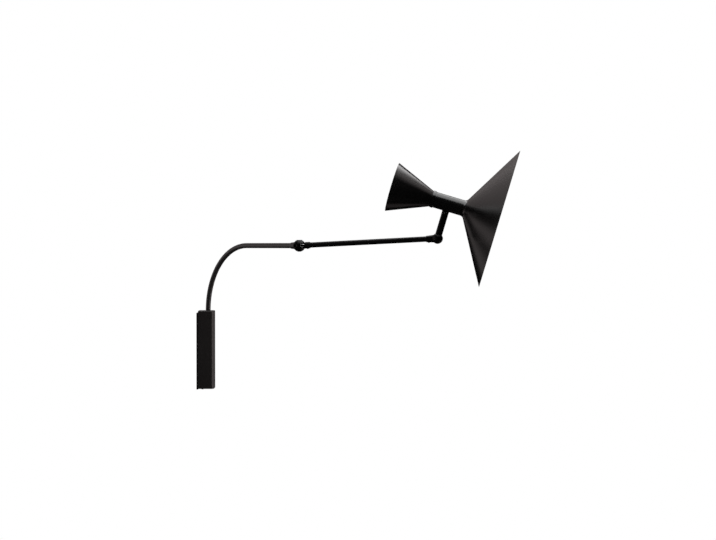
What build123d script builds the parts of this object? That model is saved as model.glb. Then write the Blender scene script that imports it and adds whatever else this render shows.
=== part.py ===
from build123d import *
from math import asin, cos, degrees, radians, sin, sqrt, tan
import os

# Articulating wall lamp: a bracket box, a curved lower arm that swings in it, a straight forearm,
# and a double-cone head on a short stem. Two ball knuckles join the arms and the stem.
# Millimetres. X points out from the wall, Z is up, and the origin is the middle of the bracket's
# mounting face, straight behind the middle of the cover.

# ---- pose at rest: the angles in which the lamp is modelled ----
swing_rest = -50.0  # lower arm's heading, measured from +X about +Z
elbow_rest = 23.0  # forearm's heading, measured from the lower arm
forearm_rake = 2.6  # forearm's fixed climb towards the head
stem_lean = 18.07  # stem's lean out of the vertical, towards the head
swivel_rest = 21.6  # head's turn on the stem

# ---- travel, each way from straight ----
swing_travel = 85.0
elbow_travel = 110.0
swivel_travel = 115.0
tilt_back = 15.0  # from rest, stem towards the forearm
tilt_forward = 90.0  # from rest, stem away from the forearm

# ---- clearances ----
seat_gap = 0.1  # between round faces of one body that seat on each other
running_gap = 0.1  # radial, in a bush or on a pivot, and beside a rubbing washer
cope_gap = 0.6  # between a ball and the coped end that rolls round it
stop_margin = 0.5  # degrees left before a stop touches at the end of a joint's travel
end_gap = 0.3  # between the end of a tube and the bottom of its socket

# ---- shared by several cuts and screws ----
overrun = 1.0  # how far a cut runs past the face that it opens
driver_slot = 0.8  # width of the slot in a screw
countersink_head = 1.9  # radius of a countersunk head, as a share of its shank's
countersink_depth = 0.9  # depth of that head, as a share of the shank's radius

# ---- bracket ----
plate_width = 76.0
plate_thickness = 6.0
plate_top = 142.0
plate_bottom = -152.0
plate_corner = 5.0
plate_edge = 1.0
cover_width = 70.0
cover_front = 67.0
cover_top = 150.0
cover_bottom = -150.0
cover_wall = 2.0
cover_corner = 14.0
cover_edge = 3.0
cover_slot_gap = 1.5  # between the tube and the slot in the cover's top
spigot_out = 42.0  # swing axis, out from the wall
wall_hole_across = 50.0
wall_hole_apart = 200.0
wall_hole_radius = 3.3
cable_hole_height = 20.0
cable_hole_radius = 8.0
grommet_bore_radius = 5.0
grommet_flange = 3.0
grommet_lip = 2.0
grommet_bevel = 1.0
lug_width = 50.0
lug_reach = 20.0
lug_leg = 16.0
lug_thickness = 3.0
cover_screw_apart = 36.0
cover_screw_out = 16.0
block_radius = 17.0
block_height = 22.0
block_lug_gap = 4.0
lower_block_top = -63.0
block_screw_apart = 22.0
block_screw_radius = 2.5
block_screw_length = 18.0
bush_wall = 2.0
bush_flange_radius = 12.8
bush_flange_thickness = 1.5
thrust_washer_thickness = 1.5
terminal_width = 38.0
terminal_height = 18.0
terminal_depth = 16.0
terminal_middle = -120.0
terminal_poles = 3
terminal_screw_radius = 1.8
terminal_wire_radius = 2.0
terminal_edge = 2.0
terminal_screw_sink = 1.0
earth_screw_side = 26.0
earth_screw_height = -40.0
earth_screw_radius = 2.0

# ---- lower arm ----
lower_tube_radius = 9.5
lower_tube_wall = 1.5
bend_radius = 250.0
lower_arm_reach = 570.0  # swing axis to elbow
tube_tail = 9.0  # lower end of the tube, below the lower block
tail_grommet_lip = 2.0
tail_grommet_wall = 1.5
tail_grommet_depth = 8.0
clip_thickness = 1.5
clip_width = 2.5
collar_radius = 12.3
collar_height = 13.0
stop_lug_reach = 17.0
stop_lug_width = 7.0
stop_pin_radius = 1.5
stop_pin_circle = 15.0
stop_pin_height = 12.0
stop_pin_depth = 8.0
grub_radius = 2.0

# ---- sockets of the knuckles: radius at the ball and at the tube, end measured from the ball's centre ----
tube_seat = 18.0  # length of tube in its socket
socket_stand = 2.0  # a socket leaves its ball straight for this length
socket_sink = 3.0  # and is sunk in the ball by this
socket_tip_length = 1.0
socket_tip_bevel = 0.6
elbow_socket_root = 13.5
elbow_socket_tip = 11.3
elbow_socket_end = 46.0
wrist_socket_root = 13.2
wrist_socket_tip = 11.3
wrist_socket_end = 42.0
forearm_socket_radius = 11.8
forearm_socket_end = 43.0
forearm_socket_bevel = 1.0
forearm_socket_relief = 25.5  # start of the socket's upper half, which stands back from the ball
lock_screw_radius = 3.3
lock_screw_stand = 1.5
lock_screw_seat = 0.8

# ---- forearm ----
forearm_length = 545.0  # elbow to wrist
forearm_tube_radius = 9.5
forearm_tube_wall = 1.5

# ---- stem ----
stem_length = 126.0  # wrist to the head's axis
stem_radius = 12.0
stem_wall = 1.5
stem_foot_top = 36.0  # top of the solid foot, from the wrist
stem_plug_length = 12.0
stem_foot_bevel = 0.3
swivel_spindle_radius = 5.0
swivel_cable_radius = 3.0
swivel_washer_radius = 6.8
swivel_washer_thickness = 1.0
swivel_pin_radius = 1.0
swivel_pin_circle = 8.8
swivel_pin_height = 2.4
swivel_pin_depth = 4.0
swivel_boss_height = 6.0
swivel_nut_flats = 17.0
swivel_nut_height = 7.0
swivel_thread_end = 2.0  # spindle left above its nut
swivel_spring_width = 3.5
neck_hole_gap = 1.0  # between the spindle and its hole in the neck
spring_washer_thickness = 1.5

# ---- head, measured along its axis from the stem, + towards the large shade ----
neck_radius = 27.5
neck_wall = 2.0
neck_front = 50.0
neck_back = 56.0
saddle_thickness = 3.5
saddle_radius = 12.5
inner_seat_radius = 12.5
inner_seat_level = 20.0  # inner seat's flat, below the head's axis
large_rim_radius = 245.0
large_rim_ahead = 185.0
large_cone_angle = 60.0  # half angle
flare_radius = 14.0
shade_sheet = 1.5
sleeve_length = 12.0
hem_radius = 1.6
small_rim_radius = 86.0
small_rim_behind = 200.0
small_cone_angle = 22.4  # half angle
small_sleeve_length = 10.0
small_sleeve_step = 2.0
small_sleeve_floor = 2.0
main_disc_ahead = 16.0
small_disc_behind = 16.0
disc_thickness = 1.5
disc_rim = 8.0
disc_vent_radius = 3.0
disc_vent_circle = 18.5
disc_vents = 6
holder_nipple_radius = 4.9
holder_nipple_reach = 5.0
holder_rim = 1.5
main_holder_radius = 20.0
main_holder_length = 44.0
main_socket_radius = 13.6
small_holder_radius = 14.0
small_holder_length = 40.0
small_socket_radius = 7.4
socket_depth = 26.0
main_bulb_radius = 30.0
main_bulb_length = 80.0
small_bulb_radius = 22.5
small_bulb_length = 58.0
bulb_socket_gap = 0.3
cap_contact_height = 2.0
cap_neck_height = 6.0
shade_screw_radius = 1.5
shade_screws = 3
shade_screw_heading = 100.0  # round the neck, from its top


# ---- places that several pieces share ----
plate_middle = (plate_top + plate_bottom) / 2
plate_height = plate_top - plate_bottom
upper_block_top = cover_top - cover_wall - lug_leg - block_lug_gap
bush_radius = lower_tube_radius + running_gap + bush_wall
lower_block_bottom = lower_block_top - block_height
tube_bottom = lower_block_bottom - tube_tail
collar_bottom = lower_block_top + bush_flange_thickness + thrust_washer_thickness + running_gap
neck_inner_radius = neck_radius - neck_wall
saddle_level = neck_radius + saddle_thickness
boss_top = stem_length - saddle_level - swivel_washer_thickness - running_gap


class Knuckle:
    """Sizes of one ball knuckle, in its own frame: Z is the pivot, the arm arrives along -X."""

    def __init__(self, ball_radius, tongue_thickness, tongue_radius, neck_width, pivot_radius):
        self.ball_radius = ball_radius
        self.tongue_thickness = tongue_thickness
        self.tongue_radius = tongue_radius
        self.neck_width = neck_width
        self.pivot_radius = pivot_radius
        self.washer_thickness = 1.0
        self.slot = tongue_thickness + 2 * (self.washer_thickness + running_gap)
        self.cheek = self.slot / 2
        self.spot_level = 0.82 * ball_radius
        self.head_radius = 0.48 * ball_radius
        self.head_height = 0.12 * ball_radius
        self.well_level = 0.6 * ball_radius
        self.well_radius = 0.4 * ball_radius
        self.nut_radius = 0.35 * ball_radius
        self.bush_wall = 1.2
        self.root_length = ball_radius + 3.0
        self.washer_radius = tongue_radius - 1.0
        self.bolt_tip = 0.2 - ball_radius
        self.nut_floor = 2.0
        self.spanner_radius = 0.05 * ball_radius

    def sweep_margin(self):
        """Half angle that the tongue's neck takes up at the rim of the web, with its stop margin."""
        web_inner = self.tongue_radius + cope_gap
        return degrees(asin(self.neck_width / 2 / web_inner)) + stop_margin


elbow = Knuckle(22.0, 8.0, 13.0, 13.0, 4.0)
wrist = Knuckle(18.6, 7.0, 11.2, 11.0, 3.5)

# ---- frames, each the place of a joint with the piece beyond it lying along its own X or Z ----
swing_frame = Pos(spigot_out, 0, 0) * Rot(0, 0, swing_rest)
arm_height = cover_top + bend_radius
elbow_arm_frame = swing_frame * Pos(lower_arm_reach, 0, arm_height)
elbow_frame = elbow_arm_frame * Rot(0, 0, elbow_rest)
forearm_frame = elbow_frame * Rot(0, -forearm_rake, 0)
wrist_arm_frame = forearm_frame * Pos(forearm_length, 0, 0)
wrist_pivot_frame = wrist_arm_frame * Rot(-90, 0, 0)
stem_frame = wrist_arm_frame * Rot(0, forearm_rake + stem_lean, 0)
head_frame = stem_frame * Pos(0, 0, stem_length) * Rot(0, 0, swivel_rest)


# ---- shared shapes ----
def rod(radius, start, end):
    """A round bar along Z from one height to another."""
    return Pos(0, 0, start) * Cylinder(radius, end - start, align=(Align.CENTER, Align.CENTER, Align.MIN))


def tube(radius, wall, start, end):
    """A round tube along Z from one height to another."""
    return rod(radius, start, end) - rod(radius - wall, start, end)


def sector(radius, height, middle, half):
    """A slice of a round disc about Z, centred on Z = 0 and on the given heading."""
    pie = Cylinder(radius, height, arc_size=2 * half, align=(Align.NONE, Align.NONE, Align.CENTER))
    return Rot(0, 0, middle - half) * pie


def hexagon_bar(across_flats, start, end):
    """A hexagonal bar along Z."""
    return Pos(0, 0, start) * extrude(RegularPolygon(across_flats / 2, 6, major_radius=False), end - start)


def spun(points):
    """A solid of revolution about Z from (radius, height) points."""
    outline = Polyline(*[(radius, 0, height) for radius, height in points], close=True)
    return revolve(make_face(outline), Axis.Z)


def along_x(shape):
    """Turn a shape that was made along +Z to lie along +X."""
    return Rot(0, 90, 0) * shape


def group(shapes):
    """Like pieces that share one node, each still a solid of its own."""
    return Compound([solid for shape in shapes for solid in shape.solids()])


def pan_screw(radius, length):
    """A pan-head screw: the head sits on Z = 0 and the shank runs down."""
    rim = 1.9 * radius
    crown = 1.2 * radius
    side = 0.7 * radius
    top = 1.3 * radius
    head = spun([(0, 0), (rim, 0), (rim, side), (crown, top), (0, top)])
    slot = Pos(0, 0, top) * Box(4 * radius, driver_slot, radius)
    return head + rod(radius, -length, 0) - slot


def countersunk_screw(radius, length):
    """A countersunk screw: its flat top lies at Z = 0 and the shank runs down."""
    depth = countersink_depth * radius
    cone = spun([(0, 0), (countersink_head * radius, 0), (radius, -depth), (0, -depth)])
    socket = hexagon_bar(1.2 * radius, -0.7 * radius, 0)
    return cone + rod(radius, -length, 0) - socket


def countersunk_hole(radius, length):
    """Hole for a countersunk screw that enters at Z = 0 and runs up."""
    depth = countersink_depth * radius
    side = countersink_head * radius + 2 * seat_gap
    sink = spun([(0, 0), (side, 0), (radius + 2 * seat_gap, depth), (0, depth)])
    return rod(radius + seat_gap, 0, length) + sink


def grub_screw(radius, length):
    """A headless screw with a hexagon socket: its top lies at Z = 0."""
    return rod(radius, -length, 0) - hexagon_bar(radius, -0.5 * radius, 0)


# ---- knuckle pieces ----
def ball_fork(knuckle, root_radius, tip_radius, socket_end, bore_radius, open_middle, open_half):
    """Slotted ball with the tapered socket of its arm behind it, open for the tongue over one sector."""
    ball = Sphere(knuckle.ball_radius)
    root = sqrt(knuckle.ball_radius**2 - root_radius**2)
    socket = spun([(0, 0), (root_radius, root - socket_sink), (root_radius, root + socket_stand),
                   (tip_radius, socket_end - socket_tip_length), (tip_radius - socket_tip_bevel, socket_end),
                   (0, socket_end)])
    socket -= rod(bore_radius + seat_gap, socket_end - tube_seat, socket_end)
    body = ball + Rot(0, -90, 0) * socket
    wide = knuckle.ball_radius + overrun
    body -= sector(wide, knuckle.slot, open_middle, open_half)
    body -= Cylinder(knuckle.tongue_radius + cope_gap, knuckle.slot)
    body -= rod(knuckle.pivot_radius + seat_gap, -wide, wide)
    body -= rod(wide, knuckle.spot_level, wide)
    body -= rod(knuckle.well_radius, -wide, -knuckle.well_level)
    return body


def socket_surface(root_radius, tip_radius, root, end, place):
    """Radius of a tapered socket at one place along it."""
    return root_radius + (tip_radius - root_radius) * (place - root) / (end - root)


def tongue(knuckle):
    """Flat tongue about the pivot, its root running out along +X past the ball."""
    eye = Cylinder(knuckle.tongue_radius, knuckle.tongue_thickness)
    length = knuckle.root_length
    root = Pos(length / 2, 0, 0) * Box(length, knuckle.neck_width, knuckle.tongue_thickness)
    bore = knuckle.pivot_radius + running_gap + knuckle.bush_wall
    return eye + root - Cylinder(bore + seat_gap, knuckle.tongue_thickness)


def coped_bar(knuckle, radius, end, bevel):
    """Round bar along Z, its lower end hollowed so that it rolls round the ball."""
    hollow = knuckle.ball_radius + cope_gap
    lean = asin(radius / hollow)
    corner = (radius, 0, hollow * cos(lean))
    arc = ThreePointArc((0, 0, hollow), (hollow * sin(lean / 2), 0, hollow * cos(lean / 2)), corner)
    side = Polyline(corner, (radius, 0, end - bevel), (radius - bevel, 0, end), (0, 0, end), (0, 0, hollow))
    return revolve(make_face(arc + side), Axis.Z)


def pivot_bolt(knuckle):
    """Shouldered pivot bolt: low domed head on the ball's spot face, shank down to the nut."""
    top = knuckle.spot_level + knuckle.head_height
    head = spun([(0, knuckle.spot_level), (knuckle.head_radius, knuckle.spot_level),
                 (knuckle.head_radius, knuckle.spot_level + knuckle.head_height / 2),
                 (0.8 * knuckle.head_radius, top), (0, top)])
    socket = hexagon_bar(1.2 * knuckle.pivot_radius, top - 0.8 * knuckle.head_height, top)
    return head + rod(knuckle.pivot_radius, knuckle.bolt_tip, knuckle.spot_level) - socket


def pivot_nut(knuckle):
    """Round nut sunk in the ball, its domed face closing the sphere, with two spanner holes."""
    bottom = -knuckle.well_level - spring_washer_thickness
    nut = rod(knuckle.nut_radius, -knuckle.ball_radius, bottom) & Sphere(knuckle.ball_radius)
    nut -= rod(knuckle.pivot_radius + seat_gap, -knuckle.ball_radius, bottom)
    hole_circle = (knuckle.pivot_radius + knuckle.nut_radius) / 2
    for side in (-1, 1):
        hole = rod(knuckle.spanner_radius, -knuckle.ball_radius, bottom - knuckle.nut_floor)
        nut -= Pos(side * hole_circle, 0, 0) * hole
    return nut


def friction_washers(knuckle):
    """The two washers that rub on the tongue, one on each cheek of the slot."""
    radius = knuckle.washer_radius
    wall = radius - knuckle.pivot_radius - seat_gap
    upper = tube(radius, wall, knuckle.cheek - knuckle.washer_thickness, knuckle.cheek)
    return group([upper, mirror(upper, Plane.XY)])


def spring_washer(knuckle):
    """Dished washer under the nut, which keeps the pivot's friction even."""
    inner = knuckle.pivot_radius + seat_gap
    outer = knuckle.well_radius - seat_gap
    flat = knuckle.well_level
    half = spring_washer_thickness / 2
    return spun([(inner, -flat), (outer, -flat - half), (outer, -flat - 2 * half), (inner, -flat - half)])


def pivot_bush(knuckle):
    """Bronze bush pressed in the tongue's eye."""
    half = knuckle.tongue_thickness / 2
    return tube(knuckle.pivot_radius + running_gap + knuckle.bush_wall, knuckle.bush_wall, -half, half)


def lock_screw(surface_radius, tube_radius):
    """Cheese-head screw that locks a tube in its socket from below, under the arm's axis."""
    head = rod(lock_screw_radius, -surface_radius - lock_screw_stand, -surface_radius + lock_screw_seat)
    shank = rod(grub_radius, -surface_radius, -tube_radius)
    slot = Pos(0, 0, -surface_radius - lock_screw_stand) * Box(
        2.5 * lock_screw_radius, driver_slot, 2 * driver_slot)
    return head + shank - slot


def lock_screw_hole(surface_radius):
    """Threaded hole and spot face that take a lock screw, under the arm's axis."""
    spot = rod(lock_screw_radius + seat_gap, -surface_radius - overrun, -surface_radius + lock_screw_seat)
    return spot + rod(grub_radius + seat_gap, -surface_radius, 0)


# ---- bracket pieces ----
def place_on_plate(side, height):
    """Frame on the front of the wall plate, with Z pointing out from the wall."""
    return Pos(plate_thickness, side, height) * Rot(0, 90, 0)


def wall_holes():
    """Sideways and upward places of the four wall screws."""
    return [(side * wall_hole_across / 2, level * wall_hole_apart / 2)
            for side in (-1, 1) for level in (-1, 1)]


def block_screw_places():
    """Height and side of the screws that hold the bearing blocks, from behind the plate."""
    levels = [upper_block_top - block_height / 2, lower_block_top - block_height / 2]
    return [(side * block_screw_apart / 2, level) for level in levels for side in (-1, 1)]


def make_wall_plate():
    outline = Plane.YZ * Pos(0, plate_middle, 0) * RectangleRounded(plate_width, plate_height, plate_corner)
    plate = extrude(outline, plate_thickness)
    plate = chamfer(plate.faces().sort_by(Axis.X)[-1].edges(), plate_edge)
    for side, height in wall_holes():
        plate -= Pos(0, side, height) * along_x(rod(wall_hole_radius, 0, plate_thickness))
    plate -= Pos(0, 0, cable_hole_height) * along_x(rod(cable_hole_radius, 0, plate_thickness))
    for side, height in block_screw_places():
        plate -= Pos(0, side, height) * along_x(countersunk_hole(block_screw_radius, plate_thickness))
    earth_hole = rod(earth_screw_radius, -plate_thickness, 0)
    return plate - place_on_plate(earth_screw_side, earth_screw_height) * earth_hole


def make_bracket_cover():
    depth = cover_front - plate_thickness
    height = cover_top - cover_bottom
    block = Box(depth, cover_width, height, align=(Align.MIN, Align.CENTER, Align.MIN))
    block = fillet(block.edges().filter_by(Axis.Z).group_by(Axis.X)[-1], cover_corner)
    ends = block.faces().filter_by(Axis.Z)
    rims = [edge for face in ends for edge in face.edges() if edge.center().X > overrun]
    block = fillet(rims, cover_edge)
    inner = Pos(-overrun, 0, cover_wall) * Box(depth - cover_wall + overrun, cover_width - 2 * cover_wall,
                                        height - 2 * cover_wall, align=(Align.MIN, Align.CENTER, Align.MIN))
    inner = fillet(inner.edges().filter_by(Axis.Z).group_by(Axis.X)[-1], cover_corner - cover_wall)
    shell = Pos(plate_thickness, 0, cover_bottom) * (block - inner)
    slot_radius = lower_tube_radius + cover_slot_gap
    slot_length = spigot_out - plate_thickness
    slot = Pos(spigot_out, 0, cover_top - cover_wall / 2) * Cylinder(slot_radius, 2 * cover_wall)
    slot += Pos(spigot_out - slot_length / 2 - overrun, 0, cover_top - cover_wall / 2) * Box(
        slot_length + 2 * overrun, 2 * slot_radius, 2 * cover_wall)
    shell -= slot
    for side in (-1, 1):
        hole = rod(grub_radius + seat_gap, cover_bottom - overrun, cover_bottom + cover_wall + overrun)
        shell -= Pos(plate_thickness + cover_screw_out, side * cover_screw_apart / 2, 0) * hole
    return shell


def cover_lug(level, up):
    """L-shaped lug on the plate: its flange lies inside the cover's end face."""
    flange_middle = level - up * lug_thickness / 2
    flange = Pos(plate_thickness, 0, flange_middle) * Box(
        lug_reach, lug_width, lug_thickness, align=(Align.MIN, Align.CENTER, Align.CENTER))
    leg = Pos(plate_thickness, 0, level - up * lug_leg / 2) * Box(
        lug_thickness, lug_width, lug_leg, align=(Align.MIN, Align.CENTER, Align.CENTER))
    return flange + leg


def make_cover_lugs():
    top = cover_lug(cover_top - cover_wall, 1)
    bottom = cover_lug(cover_bottom + cover_wall, -1)
    for side in (-1, 1):
        hole = rod(grub_radius, cover_bottom, cover_bottom + cover_wall + lug_thickness + overrun)
        bottom -= Pos(plate_thickness + cover_screw_out, side * cover_screw_apart / 2, 0) * hole
    return group([top, bottom])


def make_cover_screws():
    screw = Rot(180, 0, 0) * pan_screw(grub_radius, cover_wall + lug_thickness + 2 * overrun)
    places = [Pos(plate_thickness + cover_screw_out, side * cover_screw_apart / 2, cover_bottom)
              for side in (-1, 1)]
    return group([place * screw for place in places])


def bearing_block(top):
    """Block that carries one bush, flat on the plate and round about the swing axis."""
    middle = (plate_thickness + spigot_out) / 2
    square = Pos(middle, 0) * Rectangle(spigot_out - plate_thickness, 2 * block_radius)
    outline = square + Pos(spigot_out, 0) * (Circle(block_radius) - Circle(bush_radius + seat_gap))
    outline -= Pos(spigot_out, 0) * Circle(bush_radius + seat_gap)
    block = Pos(0, 0, top - block_height) * extrude(outline, block_height)
    for side, height in block_screw_places():
        if abs(height - top + block_height / 2) < block_screw_radius:
            hole = rod(block_screw_radius, 0, block_screw_length + overrun)
            block -= Pos(0, side, height) * along_x(hole)
    return block


def make_lower_bearing_block():
    block = bearing_block(lower_block_top)
    for place in stop_pin_places():
        block -= place * rod(stop_pin_radius, -stop_pin_depth, 0)
    return block


def stop_pin_places():
    """The two pins that end the swing, either side of the collar's lug."""
    reach = degrees(asin((stop_lug_width / 2 + stop_pin_radius) / stop_pin_circle)) + stop_margin
    heading = 180 - swing_travel - reach
    return [Pos(spigot_out, 0, lower_block_top) * Rot(0, 0, side * heading) * Pos(stop_pin_circle, 0, 0)
            for side in (-1, 1)]


def make_swing_stop_pins():
    pin = rod(stop_pin_radius, -stop_pin_depth, stop_pin_height)
    return group([place * pin for place in stop_pin_places()])


def bearing_bush(top):
    """Flanged bush in a bearing block, its flange on the block's top face."""
    inner = lower_tube_radius + running_gap
    sleeve = tube(bush_radius, bush_wall, top - block_height, top)
    flange = tube(bush_flange_radius, bush_flange_radius - inner, top, top + bush_flange_thickness)
    return Pos(spigot_out, 0, 0) * (sleeve + flange)


def make_thrust_washer():
    base = lower_block_top + bush_flange_thickness
    inner = lower_tube_radius + running_gap
    return Pos(spigot_out, 0, 0) * tube(bush_flange_radius, bush_flange_radius - inner, base,
                                         base + thrust_washer_thickness)


def make_block_screws():
    screw = Rot(0, -90, 0) * countersunk_screw(block_screw_radius, block_screw_length)
    return group([Pos(0, side, height) * screw for side, height in block_screw_places()])


def make_cable_grommet():
    bore = grommet_bore_radius
    hole = cable_hole_radius
    front = plate_thickness + grommet_lip
    profile = [(bore, 0), (hole, 0), (hole, plate_thickness), (hole + grommet_flange, plate_thickness),
               (hole + grommet_flange - grommet_bevel, front), (bore, front)]
    return Pos(0, 0, cable_hole_height) * along_x(spun(profile))


def terminal_pole_sides():
    """Sideways place of each pole of the terminal block."""
    pitch = terminal_width / (terminal_poles + 1)
    return [(pole - (terminal_poles - 1) / 2) * pitch for pole in range(terminal_poles)]


def make_terminal_block():
    align = (Align.MIN, Align.CENTER, Align.CENTER)
    body = Box(terminal_depth, terminal_width, terminal_height, align=align)
    body = chamfer(body.edges().filter_by(Axis.Y).group_by(Axis.X)[-1], terminal_edge)
    for side in terminal_pole_sides():
        body -= Pos(terminal_depth / 2, side, 0) * Cylinder(terminal_wire_radius, terminal_height)
        body -= Pos(0, side, 0) * along_x(rod(terminal_screw_radius, terminal_depth / 2, terminal_depth))
    return Pos(plate_thickness, 0, terminal_middle) * body


def make_terminal_screws():
    length = terminal_depth / 2 - terminal_wire_radius - terminal_screw_sink
    screw = rod(terminal_screw_radius, -length, 0) - Box(4 * terminal_screw_radius, driver_slot, driver_slot)
    top = terminal_depth - terminal_screw_sink
    return group([place_on_plate(side, terminal_middle) * Pos(0, 0, top) * screw
                  for side in terminal_pole_sides()])


def make_earth_screw():
    screw = pan_screw(earth_screw_radius, plate_thickness - overrun)
    return place_on_plate(earth_screw_side, earth_screw_height) * screw


# ---- lower arm pieces ----
def lower_arm_path():
    """Centre line of the curved tube in the swing frame: up, round the bend, and out."""
    bend_start = (0, 0, cover_top)
    bend_end = (bend_radius, 0, arm_height)
    tube_end = lower_arm_reach - elbow_socket_end + tube_seat - end_gap
    rise = Line((0, 0, tube_bottom), bend_start)
    bend = ThreePointArc(bend_start, (bend_radius * (1 - sqrt(0.5)), 0, cover_top + bend_radius * sqrt(0.5)),
                         bend_end)
    run = Line(bend_end, (tube_end, 0, arm_height))
    return rise + bend + run


def make_curved_tube():
    path = lower_arm_path()
    start = Plane(origin=(0, 0, tube_bottom), z_dir=(0, 0, 1))
    ring = Circle(lower_tube_radius) - Circle(lower_tube_radius - lower_tube_wall)
    return sweep(start * ring, path=path)


def make_tail_grommet():
    outer = lower_tube_radius - lower_tube_wall - seat_gap
    inner = outer - tail_grommet_wall
    lip = tube_bottom - tail_grommet_lip
    top = tube_bottom + tail_grommet_depth
    return spun([(inner, lip), (lower_tube_radius, lip), (lower_tube_radius, tube_bottom),
                 (outer, tube_bottom), (outer, top), (inner, top)])


def make_retaining_clip():
    top = lower_block_bottom - running_gap
    inner = lower_tube_radius + seat_gap
    return tube(inner + clip_width, clip_width, top - clip_thickness, top)


def make_spigot_collar():
    top = collar_bottom + collar_height
    inner = lower_tube_radius + seat_gap
    ring = rod(collar_radius, collar_bottom, top)
    lug_middle = collar_bottom + collar_height / 2
    lug = Pos(-stop_lug_reach / 2, 0, lug_middle) * Box(stop_lug_reach, stop_lug_width, collar_height)
    lug &= rod(stop_lug_reach, collar_bottom, top)
    body = ring + lug - rod(inner, collar_bottom, top)
    return body - Pos(0, 0, lug_middle) * along_x(rod(grub_radius, 0, collar_radius + overrun))


def make_collar_screw():
    length = collar_radius - lower_tube_radius - seat_gap
    screw = along_x(grub_screw(grub_radius, length))
    return Pos(collar_radius, 0, collar_bottom + collar_height / 2) * screw


def make_elbow_fork():
    open_half = elbow_travel + elbow.sweep_margin()
    fork = ball_fork(elbow, elbow_socket_root, elbow_socket_tip, elbow_socket_end, lower_tube_radius,
                     0, open_half)
    return fork - elbow_grub_place() * rod(grub_radius + seat_gap, 0, elbow_socket_root + overrun)


def elbow_grub_place():
    """Where the grub screw locks the curved tube in the elbow's socket, Z pointing down."""
    return Pos(tube_seat / 2 - elbow_socket_end, 0, 0) * Rot(180, 0, 0)


def make_elbow_grub_screw():
    length = elbow_socket_tip - lower_tube_radius - seat_gap
    return elbow_grub_place() * Pos(0, 0, elbow_socket_tip) * grub_screw(grub_radius, length)


# ---- forearm pieces ----
def make_elbow_tongue():
    """Tongue in the elbow's slot and the socket of the forearm, which climbs by the rake."""
    socket = along_x(coped_bar(elbow, forearm_socket_radius, forearm_socket_end, forearm_socket_bevel))
    bore = rod(forearm_tube_radius + seat_gap, forearm_socket_end - tube_seat, forearm_socket_end)
    socket -= along_x(bore)
    socket -= Pos(forearm_socket_end - tube_seat / 2, 0, 0) * lock_screw_hole(forearm_socket_radius)
    socket = Rot(0, -forearm_rake, 0) * socket
    relief = Box(forearm_socket_relief, 4 * forearm_socket_radius, 2 * forearm_socket_radius,
                 align=(Align.MIN, Align.CENTER, Align.MIN))
    return socket - Pos(0, 0, elbow.tongue_thickness / 2) * relief + tongue(elbow)


def make_forearm_tube():
    start = forearm_socket_end - tube_seat + end_gap
    end = forearm_length - wrist_socket_end + tube_seat - end_gap
    return along_x(tube(forearm_tube_radius, forearm_tube_wall, start, end))


def wrist_screw_surface():
    """Radius of the wrist's tapered socket where its lock screw sits."""
    root = sqrt(wrist.ball_radius**2 - wrist_socket_root**2) + socket_stand
    return socket_surface(wrist_socket_root, wrist_socket_tip, root, wrist_socket_end - socket_tip_length,
                          wrist_socket_end - tube_seat / 2)


def make_forearm_lock_screws():
    near = lock_screw(forearm_socket_radius, forearm_tube_radius)
    far = lock_screw(wrist_screw_surface(), forearm_tube_radius)
    near_place = forearm_socket_end - tube_seat / 2
    far_place = forearm_length - wrist_socket_end + tube_seat / 2
    return group([Pos(near_place, 0, 0) * near, Pos(far_place, 0, 0) * far])


def tilt_middle_and_half():
    """Middle and half of the wrist slot's open sector, from the forearm's line, down positive."""
    rest = -(90 - stem_lean - forearm_rake)
    low = rest - tilt_back - wrist.sweep_margin()
    high = rest + tilt_forward + wrist.sweep_margin()
    return (low + high) / 2, (high - low) / 2


def make_wrist_fork():
    middle, half = tilt_middle_and_half()
    fork = ball_fork(wrist, wrist_socket_root, wrist_socket_tip, wrist_socket_end, forearm_tube_radius,
                     middle, half)
    hole = Rot(90, 0, 0) * lock_screw_hole(wrist_screw_surface())
    return fork - Pos(tube_seat / 2 - wrist_socket_end, 0, 0) * hole


# ---- stem pieces, in the stem's frame: the wrist at the bottom, Z up the stem ----
def make_stem_foot():
    """Tongue in the wrist's slot with the round foot of the stem on it."""
    foot = coped_bar(wrist, stem_radius, stem_foot_top, stem_foot_bevel)
    plug = rod(stem_radius - stem_wall - seat_gap, stem_foot_top, stem_foot_top + stem_plug_length)
    flat = Rot(90, 0, 0) * Rot(0, 0, 90) * tongue(wrist)
    return foot + plug + flat


def make_stem_tube():
    return tube(stem_radius, stem_wall, stem_foot_top, boss_top - swivel_boss_height)


def make_swivel_spindle():
    """Boss on top of the stem and the hollow spindle that the head turns on."""
    boss = rod(stem_radius, boss_top - swivel_boss_height, boss_top)
    plug_bottom = boss_top - swivel_boss_height - stem_plug_length
    plug = rod(stem_radius - stem_wall - seat_gap, plug_bottom, boss_top)
    tip = stem_length - inner_seat_level + spring_washer_thickness + swivel_nut_height + swivel_thread_end
    spindle = rod(swivel_spindle_radius, boss_top, tip)
    pin_hole = Pos(-swivel_pin_circle, 0, 0) * rod(swivel_pin_radius, boss_top - swivel_pin_depth, boss_top)
    return boss + plug + spindle - rod(swivel_cable_radius, plug_bottom, tip) - pin_hole


def make_swivel_stop_pin():
    pin = rod(swivel_pin_radius, boss_top - swivel_pin_depth, boss_top + swivel_pin_height)
    return Pos(-swivel_pin_circle, 0, 0) * pin


def make_swivel_washer():
    inner = swivel_spindle_radius + seat_gap
    top = boss_top + swivel_washer_thickness
    return tube(swivel_washer_radius, swivel_washer_radius - inner, boss_top, top)


def make_swivel_spring_washer():
    base = stem_length - inner_seat_level + running_gap
    inner = swivel_spindle_radius + seat_gap
    return tube(inner + swivel_spring_width, swivel_spring_width, base, base + spring_washer_thickness)


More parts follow.
